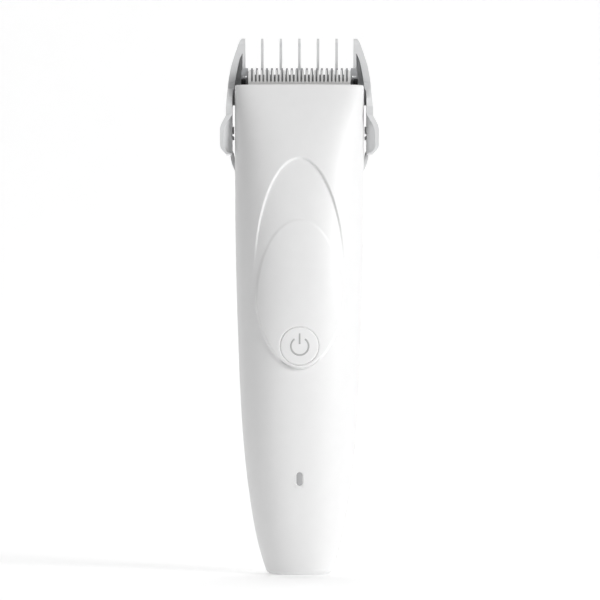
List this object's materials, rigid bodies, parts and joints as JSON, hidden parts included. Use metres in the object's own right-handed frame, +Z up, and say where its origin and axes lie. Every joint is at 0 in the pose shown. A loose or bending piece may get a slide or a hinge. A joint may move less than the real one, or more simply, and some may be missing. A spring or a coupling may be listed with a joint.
{
  "type": "hair clipper",
  "caption": "Cordless white hair clipper standing upright, with a ceramic moving blade, a steel fixed blade, a round power button and a sliding translucent guide comb.",
  "frame": {"origin": "centre of the flat base the clipper stands on", "axes": "+Z up from the base towards the blades; -Y out of the front, the side with the power button; +X to the right seen from the front"},
  "size_m": [0.053, 0.0369, 0.1787],
  "materials": {
    "white_shell": "satin white",
    "button_plastic": "satin white",
    "window_plastic": "clear grey",
    "screw_steel": "zinc plated",
    "frame_plastic": "moulded",
    "circuit_board": "green solder mask",
    "switch_plastic": "moulded",
    "led_resin": "clear resin",
    "chip_resin": "moulded",
    "socket_steel": "drawn",
    "battery_sleeve": "shrink sleeve",
    "nickel_strip": "rolled",
    "motor_steel": "zinc plated",
    "terminal_brass": "stamped",
    "magnet_ferrite": "sintered",
    "shaft_steel": "ground",
    "armature_steel": "laminated",
    "cam_plastic": "acetal",
    "blade_steel": "ground",
    "blade_ceramic": "polished white",
    "black_plastic": "moulded",
    "spring_steel": "blued",
    "comb_plastic": "translucent grey",
    "lead_sleeve": "flexible sleeve"
  },
  "bodies": {
    "housing": {"front_cover": "white_shell", "rear_cover": "white_shell", "led_window": "window_plastic", "housing_screws": "screw_steel", "inner_frame": "frame_plastic", "main_circuit_board": "circuit_board", "board_screws": "screw_steel", "button_switch": "switch_plastic", "indicator_led": "led_resin", "board_chips": "chip_resin", "charging_board": "circuit_board", "usb_socket": "socket_steel", "battery_cell": "battery_sleeve", "battery_tabs": "nickel_strip", "motor_can": "motor_steel", "motor_end_cap": "frame_plastic", "motor_terminals": "terminal_brass", "motor_magnets": "magnet_ferrite", "motor_bracket": "motor_steel", "motor_screws": "screw_steel", "fixed_blade": "blade_steel", "blade_base": "black_plastic", "blade_screws": "screw_steel", "blade_spring": "spring_steel", "battery_leads": "lead_sleeve", "motor_leads": "lead_sleeve", "charging_leads": "lead_sleeve"},
    "button": {"power_button": "button_plastic"},
    "rotor": {"motor_shaft": "shaft_steel", "armature": "armature_steel", "commutator": "terminal_brass", "eccentric_cam": "cam_plastic"},
    "cutter": {"moving_blade": "blade_ceramic", "blade_driver": "black_plastic"},
    "comb": {"guide_comb": "comb_plastic"}
  },
  "joints": [
    {"name": "comb_slide", "type": "slide", "parent": "housing", "child": "comb", "axis": [0, 0, 1], "range_m": [-0.006, 0.036]},
    {"name": "button_press", "type": "slide", "parent": "housing", "child": "button", "axis": [0, 1, 0], "range_m": [0, 0.0006], "stiffness_N_per_m": 2000, "springref_m": -0.0005},
    {"name": "motor_spin", "type": "hinge", "parent": "housing", "child": "rotor", "pos_m": [0, 0, 0.12], "axis": [0, 0, 1], "continuous": true},
    {"name": "blade_stroke", "type": "slide", "parent": "housing", "child": "cutter", "axis": [1, 0, 0], "range_m": [-0.0006, 0.0006]}
  ]
}
